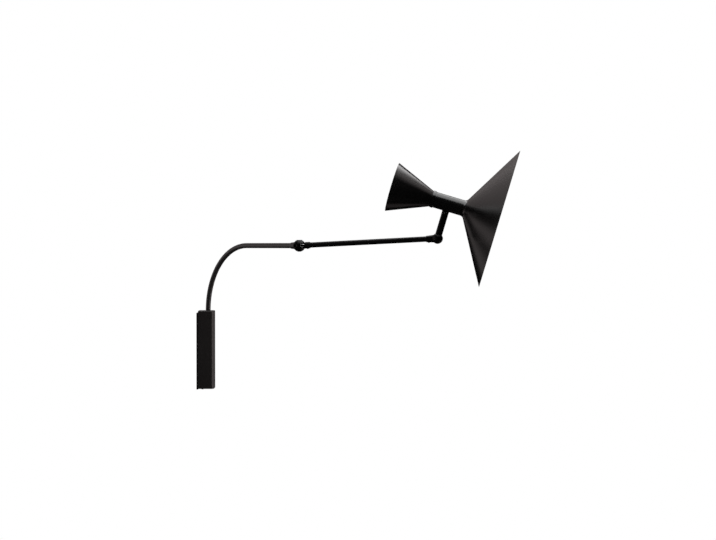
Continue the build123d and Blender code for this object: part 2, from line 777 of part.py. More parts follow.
def make_swivel_nut():
    base = stem_length - inner_seat_level + running_gap + spring_washer_thickness
    nut = hexagon_bar(swivel_nut_flats, base, base + swivel_nut_height)
    return nut - rod(swivel_spindle_radius + seat_gap, base, base + swivel_nut_height)


# ---- head pieces, in the head's frame: X along the axis, Z up ----
def neck_screw_frames(place):
    """Frames on the neck's surface, Z outwards, for screws that are spaced evenly round it."""
    turn = 360 / shade_screws
    return [Rot(shade_screw_heading + turn * index, 0, 0) * Pos(place, 0, neck_radius)
            for index in range(shade_screws)]


def make_neck_tube():
    neck = Pos(-neck_back, 0, 0) * along_x(tube(neck_radius, neck_wall, 0, neck_back + neck_front))
    neck -= rod(swivel_spindle_radius + neck_hole_gap, -neck_radius - overrun, 0)
    for frame in large_screw_frames() + small_screw_frames():
        neck -= frame * rod(shade_screw_radius + seat_gap, -neck_wall - overrun, overrun)
    return neck


def large_screw_frames():
    """Screws that hold the large shade's sleeve inside the neck."""
    return neck_screw_frames(neck_front - sleeve_length / 2)


def small_screw_frames():
    """Screws that hold the small shade's sleeve outside the neck."""
    return neck_screw_frames((small_sleeve_length - small_sleeve_floor) / 2 - neck_back)


def shade_end(cone_angle, rim_radius, rim_distance, radius):
    """Distance from the stem at which a cone's line has the given radius."""
    return rim_distance - (rim_radius - radius) / tan(radians(cone_angle))


def make_large_shade():
    """Spun cone: its sleeve fits inside the neck, and the flare carries the neck's line into it."""
    slant = radians(large_cone_angle)
    corner = shade_end(large_cone_angle, large_rim_radius, large_rim_ahead, neck_radius)
    outer_sleeve = neck_inner_radius - seat_gap
    inner_sleeve = outer_sleeve - shade_sheet
    rim_inner = large_rim_radius - shade_sheet / cos(slant)
    inner_corner = shade_end(large_cone_angle, rim_inner, large_rim_ahead, inner_sleeve)
    sleeve_start = neck_front - sleeve_length
    outside = FilletPolyline((neck_front, neck_radius), (corner, neck_radius),
                             (large_rim_ahead, large_rim_radius), radius=flare_radius)
    inside = FilletPolyline((sleeve_start, inner_sleeve), (inner_corner, inner_sleeve),
                            (large_rim_ahead, rim_inner), radius=flare_radius + shade_sheet)
    joggle = Polyline((sleeve_start, inner_sleeve), (sleeve_start, outer_sleeve), (neck_front, outer_sleeve),
                      (neck_front, neck_radius))
    rim = Line((large_rim_ahead, large_rim_radius), (large_rim_ahead, rim_inner))
    sheet = make_face(outside + rim + inside + joggle)
    hem = Pos(large_rim_ahead - hem_radius, rim_inner + shade_sheet / 2 - hem_radius) * Circle(hem_radius)
    shade = revolve(sheet + hem, Axis.X)
    for frame in large_screw_frames():
        shade -= frame * rod(shade_screw_radius, -neck_wall - shade_sheet - overrun, 0)
    return shade


def make_small_shade():
    """Spun cone of the back shade: its stepped sleeve fits over the neck."""
    slope = tan(radians(small_cone_angle))
    sheet = shade_sheet / cos(radians(small_cone_angle))
    sleeve_end = neck_back + small_sleeve_floor
    sleeve_radius = neck_radius + small_sleeve_step
    cone_start = small_rim_radius - (small_rim_behind - sleeve_end) * slope
    cone_inside = small_rim_radius - sheet - (small_rim_behind - neck_back) * slope
    sleeve_start = sleeve_end - small_sleeve_length
    profile = [(neck_radius + seat_gap, sleeve_start), (sleeve_radius, sleeve_start),
               (sleeve_radius, sleeve_end), (cone_start, sleeve_end), (small_rim_radius, small_rim_behind),
               (small_rim_radius - sheet, small_rim_behind), (cone_inside, neck_back),
               (neck_radius + seat_gap, neck_back)]
    shade = Rot(0, -90, 0) * spun(profile)
    for frame in small_screw_frames():
        shade -= frame * rod(shade_screw_radius, -overrun, small_sleeve_step + overrun)
    return shade


def make_shade_screws():
    long_screw = grub_screw(shade_screw_radius, neck_wall + shade_sheet + seat_gap)
    short_screw = grub_screw(shade_screw_radius, neck_wall + small_sleeve_step)
    short_screw = Pos(0, 0, small_sleeve_step) * short_screw
    return group([frame * long_screw for frame in large_screw_frames()]
                 + [frame * short_screw for frame in small_screw_frames()])


def make_swivel_saddle():
    """Saddle between the stem and the neck: coped on top, with the stop pin's groove below."""
    saddle = rod(saddle_radius, -saddle_level, -neck_radius / 2)
    saddle -= along_x(Cylinder(neck_radius + seat_gap, 4 * saddle_radius))
    saddle -= rod(swivel_spindle_radius + running_gap, -saddle_level, 0)
    pin_half = degrees(asin(swivel_pin_radius / swivel_pin_circle))
    groove_half = swivel_travel + pin_half + stop_margin
    depth = swivel_pin_height
    outside = swivel_pin_circle + swivel_pin_radius + running_gap
    inside = swivel_pin_circle - swivel_pin_radius - running_gap
    groove = sector(outside, 2 * depth, 180, groove_half) - Cylinder(inside, 2 * depth)
    return saddle - Pos(0, 0, -saddle_level) * groove


def make_inner_seat():
    """Inner seat in the neck: coped below, flat on top for the spring washer and nut."""
    seat = rod(inner_seat_radius, -neck_radius, -inner_seat_level)
    seat &= along_x(Cylinder(neck_inner_radius - seat_gap, 4 * inner_seat_radius))
    return seat - rod(swivel_spindle_radius + running_gap, -neck_radius, 0)


def holder_disc():
    """Pressed disc that carries a lampholder, its rim turned away from the stem, as Z is."""
    radius = neck_inner_radius - seat_gap
    disc = tube(radius, disc_thickness, 0, disc_rim) + rod(radius, 0, disc_thickness)
    disc -= rod(holder_nipple_radius + seat_gap, 0, disc_thickness)
    vent = Pos(disc_vent_circle, 0, 0) * rod(disc_vent_radius, 0, disc_thickness)
    for index in range(disc_vents):
        disc -= Rot(0, 0, index * 360 / disc_vents) * vent
    return disc


def lampholder(radius, length, socket_radius):
    """Lampholder with its nipple through the disc; Z away from the stem, base on the disc."""
    base = disc_thickness
    foot = 0.7 * radius
    shoulder = base + 0.25 * length
    mouth = base + length
    body = spun([(0, base), (foot, base), (radius, shoulder), (radius, mouth - holder_rim),
                 (radius - holder_rim, mouth), (0, mouth)])
    body -= rod(socket_radius, mouth - socket_depth, mouth)
    nipple = rod(holder_nipple_radius, -holder_nipple_reach, base)
    return body + nipple


def bulb_cap(radius, mouth):
    """Screw cap of a bulb, down in the socket to its tip contact."""
    tip = mouth - socket_depth + bulb_socket_gap
    contact = 0.4 * radius
    neck = 0.5 * radius
    return spun([(0, tip), (contact, tip), (neck, tip + cap_contact_height), (radius, tip + cap_neck_height),
                 (radius, mouth), (0, mouth)])


def bulb_glass(neck, radius, length, mouth):
    """Pear-shaped envelope that grows out of its cap into a sphere."""
    centre = length - radius
    lean = asin((radius - neck) / centre)
    tangent = (radius * cos(lean), mouth + centre - radius * sin(lean))
    sphere_top = (0, mouth + length)
    sphere_side = (radius, mouth + centre)
    outline = Line((0, mouth), (neck, mouth)) + Line((neck, mouth), tangent)
    outline += ThreePointArc(tangent, sphere_side, sphere_top)
    outline += Line(sphere_top, (0, mouth))
    return revolve(Plane.XZ * make_face(outline), Axis.Z)


def make_main_lampholder():
    return lampholder(main_holder_radius, main_holder_length, main_socket_radius)


def make_small_lampholder():
    return lampholder(small_holder_radius, small_holder_length, small_socket_radius)


def make_main_bulb():
    return bulb_glass(main_cap_radius, main_bulb_radius, main_bulb_length, main_mouth)


def make_small_bulb():
    return bulb_glass(small_cap_radius, small_bulb_radius, small_bulb_length, small_mouth)


main_frame = head_frame * Pos(main_disc_ahead, 0, 0) * Rot(0, 90, 0)
small_frame = head_frame * Pos(-small_disc_behind, 0, 0) * Rot(0, -90, 0)
main_mouth = disc_thickness + main_holder_length
small_mouth = disc_thickness + small_holder_length
main_cap_radius = main_socket_radius - bulb_socket_gap
small_cap_radius = small_socket_radius - bulb_socket_gap
row = Location()

nodes = {
    # bracket
    "wall_plate": (row, make_wall_plate()),
    "bracket_cover": (row, make_bracket_cover()),
    "cover_lugs": (row, make_cover_lugs()),
    "cover_screws": (row, make_cover_screws()),
    "upper_bearing_block": (row, bearing_block(upper_block_top)),
    "lower_bearing_block": (row, make_lower_bearing_block()),
    "upper_bush": (row, bearing_bush(upper_block_top)),
    "lower_bush": (row, bearing_bush(lower_block_top)),
    "thrust_washer": (row, make_thrust_washer()),
    "block_screws": (row, make_block_screws()),
    "swing_stop_pins": (row, make_swing_stop_pins()),
    "cable_grommet": (row, make_cable_grommet()),
    "terminal_block": (row, make_terminal_block()),
    "terminal_screws": (row, make_terminal_screws()),
    "earth_screw": (row, make_earth_screw()),
    # lower arm
    "curved_tube": (swing_frame, make_curved_tube()),
    "tail_grommet": (swing_frame, make_tail_grommet()),
    "retaining_clip": (swing_frame, make_retaining_clip()),
    "spigot_collar": (swing_frame, make_spigot_collar()),
    "collar_screw": (swing_frame, make_collar_screw()),
    "elbow_fork": (elbow_arm_frame, make_elbow_fork()),
    "elbow_grub_screw": (elbow_arm_frame, make_elbow_grub_screw()),
    "elbow_pivot_bolt": (elbow_arm_frame, pivot_bolt(elbow)),
    "elbow_pivot_nut": (elbow_arm_frame, pivot_nut(elbow)),
    "elbow_spring_washer": (elbow_arm_frame, spring_washer(elbow)),
    "elbow_friction_washers": (elbow_arm_frame, friction_washers(elbow)),
    # forearm
    "elbow_tongue": (elbow_frame, make_elbow_tongue()),
    "elbow_bush": (elbow_frame, pivot_bush(elbow)),
    "forearm_tube": (forearm_frame, make_forearm_tube()),
    "forearm_lock_screws": (forearm_frame, make_forearm_lock_screws()),
    "wrist_fork": (wrist_pivot_frame, make_wrist_fork()),
    "wrist_pivot_bolt": (wrist_pivot_frame, pivot_bolt(wrist)),
    "wrist_pivot_nut": (wrist_pivot_frame, pivot_nut(wrist)),
    "wrist_spring_washer": (wrist_pivot_frame, spring_washer(wrist)),
    "wrist_friction_washers": (wrist_pivot_frame, friction_washers(wrist)),
    # stem
    "stem_foot": (stem_frame, make_stem_foot()),
    "wrist_bush": (wrist_pivot_frame, pivot_bush(wrist)),
    "stem_tube": (stem_frame, make_stem_tube()),
    "swivel_spindle": (stem_frame, make_swivel_spindle()),
    "swivel_stop_pin": (stem_frame, make_swivel_stop_pin()),
    "swivel_washer": (stem_frame, make_swivel_washer()),
    "swivel_spring_washer": (stem_frame, make_swivel_spring_washer()),
    "swivel_nut": (stem_frame, make_swivel_nut()),
    # head
    "neck_tube": (head_frame, make_neck_tube()),
    "swivel_saddle": (head_frame, make_swivel_saddle()),
    "inner_seat": (head_frame, make_inner_seat()),
    "large_shade": (head_frame, make_large_shade()),
    "small_shade": (head_frame, make_small_shade()),
    "shade_screws": (head_frame, make_shade_screws()),
    "main_holder_disc": (main_frame, holder_disc()),
    "small_holder_disc": (small_frame, holder_disc()),
    "main_lampholder": (main_frame, make_main_lampholder()),
    "small_lampholder": (small_frame, make_small_lampholder()),
    "main_bulb_cap": (main_frame, bulb_cap(main_cap_radius, main_mouth)),
    "main_bulb": (main_frame, make_main_bulb()),
    "small_bulb_cap": (small_frame, bulb_cap(small_cap_radius, small_mouth)),
    "small_bulb": (small_frame, make_small_bulb()),
}

os.makedirs("parts", exist_ok=True)
for name, (frame, shape) in nodes.items():
    export_step(frame * shape, f"parts/{name}.step")
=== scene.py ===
from math import cos, pi, radians, sin, tan

import bpy
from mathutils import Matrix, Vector


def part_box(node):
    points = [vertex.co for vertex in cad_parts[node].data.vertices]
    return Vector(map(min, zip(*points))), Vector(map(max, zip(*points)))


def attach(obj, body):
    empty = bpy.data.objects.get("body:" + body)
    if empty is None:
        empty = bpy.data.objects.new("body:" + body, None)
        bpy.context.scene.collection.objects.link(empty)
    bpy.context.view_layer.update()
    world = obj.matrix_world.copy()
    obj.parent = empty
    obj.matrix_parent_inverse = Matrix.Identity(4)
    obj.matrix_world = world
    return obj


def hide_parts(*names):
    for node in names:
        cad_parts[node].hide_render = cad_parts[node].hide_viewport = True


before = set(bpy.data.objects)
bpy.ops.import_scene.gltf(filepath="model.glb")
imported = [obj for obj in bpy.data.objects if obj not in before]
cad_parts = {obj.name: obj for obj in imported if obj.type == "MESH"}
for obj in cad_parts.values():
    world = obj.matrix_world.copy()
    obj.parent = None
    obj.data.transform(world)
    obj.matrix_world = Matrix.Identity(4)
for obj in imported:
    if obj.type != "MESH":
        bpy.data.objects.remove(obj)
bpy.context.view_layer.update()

# ---- Camera ----
# A long lens looks along the wall at the lamp's side, almost level, from six and a half metres away. The
# bracket is at the left of the picture and the head at the right.
camera_place = Vector((0.6192, -6.564, 0.4022))
camera_lens = 85.7  # millimetres, on a sensor 36 wide
camera_dip = radians(0.84)  # below the level

camera = bpy.data.objects.new("camera", bpy.data.cameras.new("camera"))
camera.location = camera_place
camera.rotation_euler = (pi / 2 - camera_dip, 0, 0)
camera.data.lens = camera_lens
camera.data.sensor_width = 36.0
bpy.context.scene.collection.objects.link(camera)
bpy.context.scene.camera = camera
bpy.context.scene.view_settings.view_transform = "Standard"


# ---- Studio: backdrop, boards, softbox and floor ----
# White paper hangs behind the lamp. Grey and white boards stand round it, and black cloth fills the rest,
# so that the lacquer stays dark. A softbox hangs overhead, and the pale floor lies well below the lamp.
class Link:
    """An output of a shader node: sums, products and powers of it add Math nodes."""

    def __init__(self, recipe, socket):
        self.recipe = recipe
        self.socket = socket

    def __getitem__(self, name):
        """Another output of the same node."""
        return Link(self.recipe, self.socket.node.outputs[name])

    def maths(self, operation, first, second=0.0):
        return self.recipe.node("ShaderNodeMath", {"operation": operation}, {0: first, 1: second})

    def __add__(self, other):
        return self.maths("ADD", self, other)

    __radd__ = __add__

    def __mul__(self, other):
        return self.maths("MULTIPLY", self, other)

    __rmul__ = __mul__

    def __sub__(self, other):
        return self.maths("SUBTRACT", self, other)

    def __rsub__(self, other):
        return self.maths("SUBTRACT", other, self)

    def most(self, other):
        return self.maths("MAXIMUM", self, other)


class Recipe:
    """The node tree of one material, or of the world."""

    def __init__(self, owner):
        owner.use_nodes = True
        self.tree = owner.node_tree
        self.tree.nodes.clear()

    def node(self, kind, settings=None, sockets=None, output=0):
        """Add a node, set it up, feed its sockets with values or links, and give one output."""
        made = self.tree.nodes.new(kind)
        for name, value in (settings or {}).items():
            setattr(made, name, value)
        for name, value in (sockets or {}).items():
            if isinstance(value, Link):
                self.tree.links.new(value.socket, made.inputs[name])
            else:
                made.inputs[name].default_value = value
        return Link(self, made.outputs[output])

    def soft_step(self, value, start, end):
        """From 0 at start to 1 at end, eased."""
        return self.node("ShaderNodeMapRange", {"interpolation_type": "SMOOTHSTEP"},
                         {"Value": value, "From Min": start, "From Max": end})

    def noise(self, place, scale, detail=2.0):
        return self.node("ShaderNodeTexNoise", {}, {"Vector": place, "Scale": scale, "Detail": detail})

    def vectors(self, operation, first, second, output=0):
        return self.node("ShaderNodeVectorMath", {"operation": operation}, {0: first, 1: second}, output)

    def colours(self, factor, low, high):
        """Colour low where factor is 0 and colour high where it is 1."""
        low, high = (colour if isinstance(colour, Link) else (*colour, 1) for colour in (low, high))
        return self.node("ShaderNodeMix", {"data_type": "RGBA"}, {0: factor, 6: low, 7: high}, 2)

    def finish(self, output, shader):
        self.tree.links.new(shader.socket, self.tree.nodes.new(output).inputs["Surface"])


degree = pi / 180
plain_light = 0.85  # what lights matt surfaces from all round
board_tint = (1, 0.89, 0.88)  # the boards are a little warm
softbox_middle = Vector((0.95, -0.33, 2.2))
softbox_size = (2.44, 2.96)
softbox_glow = 3.8  # as the lacquer shows it
softbox_spill = 0.8  # what it adds on matt surfaces

world = bpy.data.worlds.new("studio")
bpy.context.scene.world = world
studio = Recipe(world)
ray = studio.node("ShaderNodeLightPath")
towards = studio.node("ShaderNodeSeparateXYZ", {}, {0: studio.node("ShaderNodeTexCoord")["Generated"]})
azimuth = towards["X"].maths("ARCTAN2", towards["X"], towards["Y"]) * (1 / degree)  # to the right of the view
elevation = towards["Z"].maths("ARCSINE", towards["Z"]) * (1 / degree)


def board(light, left, right, bottom, top, soft):
    """A soft-edged board round the lamp, between four angles in degrees, with the light that it gives."""
    across = studio.soft_step(azimuth, left - soft, left + soft) * studio.soft_step(
        azimuth, right + soft, right - soft)
    upright = studio.soft_step(elevation, bottom - soft, bottom + soft) * studio.soft_step(
        elevation, top + soft, top - soft)
    return light * across * upright


boards = sum([
    board(0.44, -70, -13, 18, 60, 5),  # grey board at the back left, seen in the large cone
    board(0.26, -70, -24, 10, 18, 3),  # its lower part, in three tones
    board(0.40, -70, -27, 3, 8, 2),
    board(0.24, -70, -28, -9, -2, 2),
    board(0.24, -13, 14, 8, 24, 4),  # its dim end over the lamp
    board(0.75, -105, -62, -24, 16, 8),  # board at the bracket's end, seen in the lower arm
    board(2.20, 90, 124, -24, 8, 5),  # board at the head's end, seen in the bracket's corner
    board(1.10, 68, 90, -18, 14, 6),  # its farther part, half as bright
    board(1.30, 60, 112, -62, -24, 6),  # its foot, seen inside the arm's bend
    board(0.35, 20, 66, -25, 10, 10),  # dim board behind the head
    board(0.80, 82, 130, 32, 60, 13),  # board above them, seen in the small cone
    board(1.10, 38, 74, 36, 46, 5),  # narrow strip under the softbox's edge, the small cone's highlight
])
gloss = ray["Is Glossy Ray"]
paper = ray["Is Camera Ray"].most(ray["Is Transmission Ray"])
brightness = paper + (1 - paper) * (gloss * boards + (1 - gloss) * plain_light)
studio.finish("ShaderNodeOutputWorld", studio.node("ShaderNodeBackground", {}, {
    "Color": studio.colours(gloss, (1, 1, 1), board_tint), "Strength": brightness}))

for lamp_name, radiance, on_matt in (
        ("softbox", softbox_glow, False), ("softbox_spill", softbox_spill, True)):
    lamp = bpy.data.objects.new(lamp_name, bpy.data.lights.new(lamp_name, "AREA"))
    lamp.data.shape = "RECTANGLE"
    lamp.data.size, lamp.data.size_y = softbox_size
    lamp.data.energy = radiance * pi * softbox_size[0] * softbox_size[1]
    lamp.location = softbox_middle
    lamp.visible_camera = False
    lamp.visible_diffuse = on_matt
    lamp.visible_glossy = not on_matt
    bpy.context.scene.collection.objects.link(lamp)

floor_middle = Vector((0.7, 0.35, -1.1))
floor_half = (1.5, 0.85)
floor_tones = ((0.70, 0.69, 0.68), (0.76, 0.75, 0.74))
floor_glow = 0.75  # the camera sees half paint and half this
floor_dark = (0.008, 0.007, 0.007)  # what the gloss coats see of it, outside the pool of light
floor_pool = (0.20, 0.17, 0.17)  # in the pool that the softbox lights
floor_bright = (0.8, 0.7, 0.7)  # and at its right end
pool_middle = Vector((0.45, -0.5, 0.0))  # from the floor's own middle
pool_inner, pool_outer = 0.4, 0.8  # radii between which the pool fades
bright_from, bright_full = 0.75, 0.95  # where the bright end fades in, along X from the middle

floor_mesh = bpy.data.meshes.new("floor")
floor_corners = [(floor_half[0] * x, floor_half[1] * y, 0) for x, y in ((-1, -1), (1, -1), (1, 1), (-1, 1))]
floor_mesh.from_pydata(floor_corners, [], [(0, 1, 2, 3)])
floor = bpy.data.objects.new("floor", floor_mesh)
floor.location = floor_middle
bpy.context.scene.collection.objects.link(floor)
floor_paint = bpy.data.materials.new("pale_floor")
recipe = Recipe(floor_paint)
spot = recipe.node("ShaderNodeTexCoord")["Object"]
paint = recipe.node("ShaderNodeBsdfDiffuse", {}, {
    "Color": recipe.colours(recipe.noise(spot, 40.0), *floor_tones)})
# What the gloss coats see of the floor is an emission, not lit paint: a painted pool of light under the
# softbox and a painted bright end, over a dark floor.
in_pool = recipe.soft_step(recipe.vectors("DISTANCE", spot, pool_middle, 1), pool_outer, pool_inner)
at_end = recipe.soft_step(recipe.node("ShaderNodeSeparateXYZ", {}, {0: spot})["X"], bright_from, bright_full)
in_gloss = recipe.node("ShaderNodeEmission", {}, {
    "Color": recipe.colours(at_end, recipe.colours(in_pool, floor_dark, floor_pool), floor_bright)})
seen_by = recipe.node("ShaderNodeLightPath")
glow = recipe.node("ShaderNodeEmission", {}, {"Strength": floor_glow})
pale = recipe.node("ShaderNodeMixShader", {}, {0: 0.5 * seen_by["Is Camera Ray"], 1: paint, 2: glow})
recipe.finish("ShaderNodeOutputMaterial", recipe.node("ShaderNodeMixShader", {}, {
    0: seen_by["Is Glossy Ray"], 1: pale, 2: in_gloss}))
floor_mesh.materials.append(floor_paint)


# ---- Wall plate and bracket cover ----
# A 6 mm steel plate screws flat to the wall, and a folded steel box with rounded front corners hooks over
# it. Both are powder coated in a fine-textured black that is a little duller than the lacquer of the head.
def coat(recipe, colour, roughness, grain_size, grain_depth, shine=0.5):
    """Paint: a skin with a fine grain, uneven in its gloss, over a colour that hardly varies."""
    place = recipe.node("ShaderNodeTexCoord")["Object"]
    cloud = recipe.noise(place, 11.0, 4.0)  # patches about 90 mm across
    grain = recipe.noise(place, 1 / grain_size)
    skin = recipe.node("ShaderNodeBump", {}, {"Strength": 0.6, "Distance": grain_depth, "Height": grain})
    return recipe.node("ShaderNodeBsdfPrincipled", {}, {
        "Base Color": recipe.colours(cloud, colour, tuple(1.3 * part for part in colour)),
        "Roughness": roughness + 0.10 * (cloud - 0.5) + 0.06 * (grain - 0.5),
        "Specular IOR Level": shine, "Normal": skin})


def lacquer(name, *look):
    """A material of one coat of paint."""
    material = bpy.data.materials.new(name)
    recipe = Recipe(material)
    recipe.finish("ShaderNodeOutputMaterial", coat(recipe, *look))
    return material


def dress(material, *names):
    """Give CAD pieces one finish."""
    for name in names:
        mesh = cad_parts[name].data
        mesh.materials.clear()
        mesh.materials.append(material)


bracket_coat = lacquer("bracket_powder_coat", (0.0074, 0.0050, 0.0049), 0.42, 0.0008, 0.00002)
plate_coat = lacquer("plate_powder_coat", (0.0014, 0.0012, 0.0012), 0.50, 0.0008, 0.00002, 0.15)
dress(bracket_coat, "bracket_cover")
dress(plate_coat, "wall_plate")


# ---- Cover lugs, screws and swing stops ----
# Two bent lugs on the plate locate the cover, and its screws go up into the lower one. They, the screws of
# the bearing blocks and the two stop pins are zinc-plated steel, with the faint lines of bending and turning.
def metal(name, colour, roughness, line_size, stretch=(1, 1, 1)):
    """Bare or plated metal with fine tool lines, and a film that dulls it here and there."""
    material = bpy.data.materials.new(name)
    recipe = Recipe(material)
    place = recipe.node("ShaderNodeTexCoord")["Object"]
    lines = recipe.noise(recipe.vectors("MULTIPLY", place, stretch), 1 / line_size, 3.0)
    film = recipe.noise(place, 60.0, 3.0)  # patches about 17 mm across
    skin = recipe.node("ShaderNodeBump", {}, {"Strength": 0.4, "Distance": line_depth, "Height": lines})
    recipe.finish("ShaderNodeOutputMaterial", recipe.node("ShaderNodeBsdfPrincipled", {}, {
        "Base Color": recipe.colours(film, colour, tuple(0.8 * part for part in colour)), "Metallic": 1.0,
        "Roughness": roughness + 0.12 * (lines - 0.5) + 0.10 * (film - 0.5), "Normal": skin}))
    return material


line_depth = 0.00003
zinc = metal("zinc_plated_steel", (0.62, 0.62, 0.60), 0.33, 0.0014)
black_steel = metal("black_oxide_steel", (0.05, 0.05, 0.052), 0.38, 0.0020)
dress(zinc, "cover_lugs", "block_screws", "swing_stop_pins", "earth_screw")
dress(black_steel, "cover_screws")

# ---- Bearing blocks, bushes and spigot ----
# Two machined aluminium blocks stand on the plate, each with a flanged bronze bush. The lower arm's tail
# turns in them: a clamped collar rests on a nylon thrust washer, and a spring clip keeps the arm down.
machined = metal("machined_aluminium", (0.30, 0.30, 0.31), 0.50, 0.0011, (1, 1, 6))
bronze = metal("bearing_bronze", (0.58, 0.40, 0.20), 0.32, 0.0011, (1, 1, 6))
nylon = lacquer("white_nylon", (0.64, 0.64, 0.62), 0.42, 0.0010, 0.00003)
dress(machined, "upper_bearing_block", "lower_bearing_block")
dress(bronze, "upper_bush", "lower_bush")
dress(nylon, "thrust_washer")
dress(zinc, "spigot_collar", "retaining_clip")
dress(black_steel, "collar_screw")

# ---- Terminal block, earth screw and grommets ----
# A three-pole block of pale moulded plastic with brass screws takes the mains wires behind the cover. Soft
# black rubber lines the cable hole in the plate and the cut end of the arm's tube.
block_plastic = lacquer("terminal_plastic", (0.66, 0.65, 0.60), 0.34, 0.0030, 0.00003)
rubber = lacquer("black_rubber", (0.022, 0.022, 0.022), 0.72, 0.0006, 0.00005)
dress(block_plastic, "terminal_block")
dress(bronze, "terminal_screws")
dress(rubber, "cable_grommet", "tail_grommet")

# ---- Lower arm ----
# One steel tube, 19 mm across, rises from the bracket and bends over in a quarter circle to the elbow. Its
# black lacquer is sprayed with the ball's socket in place, and shows the grey boards as a soft sheen.
arm_look = ((0.0088, 0.0077, 0.0077), 0.36, 0.0012, 0.00002)
dress(lacquer("arm_lacquer", *arm_look), "curved_tube")
dress(black_steel, "elbow_grub_screw")

# ---- Forearm ----
# The same tube, straight, is pinned by lock screws in the elbow's tongue and in the wrist's socket. Its
# coat is duller and blacker than the lower arm's, so that it hardly shows a highlight.
forearm_coat = lacquer("forearm_coat", (0.0006, 0.0005, 0.0005), 0.46, 0.0010, 0.00002, 0.14)
dress(forearm_coat, "forearm_tube", "elbow_tongue")
dress(black_steel, "forearm_lock_screws")


# ---- Knuckles ----
# Each is a slotted cast ball with a flat tongue between two fibre washers, on a shouldered pivot bolt and
# a bronze bush. A dished spring washer under the sunk nut sets how stiffly it turns.
def middle_of(node):
    """The middle of a node's box."""
    lowest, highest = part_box(node)
    return (lowest + highest) / 2


ball_look = ((0.0006, 0.0005, 0.0005), 0.34, 0.0014, 0.00003, 0.12)
elbow_ball_radius = 0.022
ball_edge = 0.001  # over which its coat gives way to the arm's
ball_coat = lacquer("ball_lacquer", *ball_look)
elbow_coat = bpy.data.materials.new("elbow_lacquer")  # the ball's, and the arm's on the socket
recipe = Recipe(elbow_coat)
place = recipe.node("ShaderNodeTexCoord")["Object"]
from_ball = recipe.vectors("DISTANCE", place, middle_of("elbow_bush"), 1)
on_socket = recipe.soft_step(from_ball, elbow_ball_radius, elbow_ball_radius + ball_edge)
recipe.finish("ShaderNodeOutputMaterial", recipe.node("ShaderNodeMixShader", {}, {
    0: on_socket, 1: coat(recipe, *ball_look), 2: coat(recipe, *arm_look)}))
fibre = lacquer("dark_fibre", (0.010, 0.007, 0.006), 0.80, 0.0005, 0.00003, 0.2)
dress(elbow_coat, "elbow_fork")
dress(ball_coat, "wrist_fork")
dress(black_steel, "elbow_pivot_bolt", "elbow_pivot_nut", "wrist_pivot_bolt", "wrist_pivot_nut")
dress(fibre, "elbow_friction_washers", "wrist_friction_washers")
dress(bronze, "elbow_bush", "wrist_bush")
dress(zinc, "elbow_spring_washer", "wrist_spring_washer")

# ---- Stem and swivel ----
# A short tube leans forward from the wrist to the neck. A hollow spindle runs through it into the neck,
# where a nut on a spring washer pulls the coped saddle and the inner seat together so that the head turns.
dress(forearm_coat, "stem_foot", "stem_tube")
dress(ball_coat, "swivel_saddle")
dress(black_steel, "swivel_spindle")
dress(machined, "inner_seat")
dress(nylon, "swivel_washer")
dress(zinc, "swivel_stop_pin", "swivel_spring_washer", "swivel_nut")

# ---- Neck ----
# A round aluminium tube carries both shades. Two plated discs inside it hold the lampholders back to back,
# and three small screws at each end pin the shades' sleeves.
head_coat = lacquer("head_lacquer", (0.0012, 0.0010, 0.0010), 0.24, 0.0014, 0.00005)
dress(head_coat, "neck_tube")
dress(black_steel, "shade_screws")
dress(zinc, "main_holder_disc", "small_holder_disc")

# ---- Large shade ----
# An aluminium disc is spun into a wide cone whose flare carries on the neck's line. Its edge is rolled
# inwards. Outside it has the neck's black lacquer, and inside a white enamel that throws the light forward.
head_middle = (middle_of("main_holder_disc") + middle_of("small_holder_disc")) / 2
head_axis = (middle_of("main_holder_disc") - middle_of("small_holder_disc")).normalized()
sharp_from = radians(40)  # edges that bend more than this are shaded sharp


def off_axis(place):
    """How far a place is from the head's axis."""
    return (place - head_middle).cross(head_axis).length


def reach(node):
    """A node's two ends along the head's axis, from the head's middle, and its least and largest radius."""
    places = [vertex.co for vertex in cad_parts[node].data.vertices]
    along = [(place - head_middle).dot(head_axis) for place in places]
    radii = [off_axis(place) for place in places]
    return min(along), max(along), min(radii), max(radii)


def turned(name, outline, finishes, columns, flute=0.0):
    """A ring of mesh about the head's axis. Each point of the closed outline is its place along the axis,
    its radius, the finish of the strip that follows, and whether every other column is cut in there."""
    side = head_axis.orthogonal().normalized()
    rows = []
    for along, radius, finish, fluted in outline:
        for column in range(columns):
            turn = 2 * pi * column / columns
            cut = flute if fluted and column % 2 else 0.0
            out = side * cos(turn) + head_axis.cross(side) * sin(turn)
            rows.append(head_middle + head_axis * along + out * (radius - cut))
    faces = []
    for row in range(len(outline)):
        following = (row + 1) % len(outline)
        for column in range(columns):
            after = (column + 1) % columns
            faces.append((row * columns + column, following * columns + column,
                          following * columns + after, row * columns + after))
    mesh = bpy.data.meshes.new(name)
    mesh.from_pydata(rows, [], faces)
    for finish in finishes:
        mesh.materials.append(finish)
    for index, face in enumerate(mesh.polygons):
        face.material_index = outline[index // columns][2]
    mesh.shade_smooth()
    mesh.set_sharp_from_angle(angle=sharp_from)
    piece = bpy.data.objects.new(name, mesh)
    bpy.context.scene.collection.objects.link(piece)
    return piece


def arc(middle_along, middle_radius, radius, start, end, steps):
    """Points of an arc in the outline's plane, between two angles in degrees from the axis."""
    turns = [radians(start + (end - start) * step / steps) for step in range(steps + 1)]
    return [(middle_along + radius * cos(turn), middle_radius + radius * sin(turn)) for turn in turns]


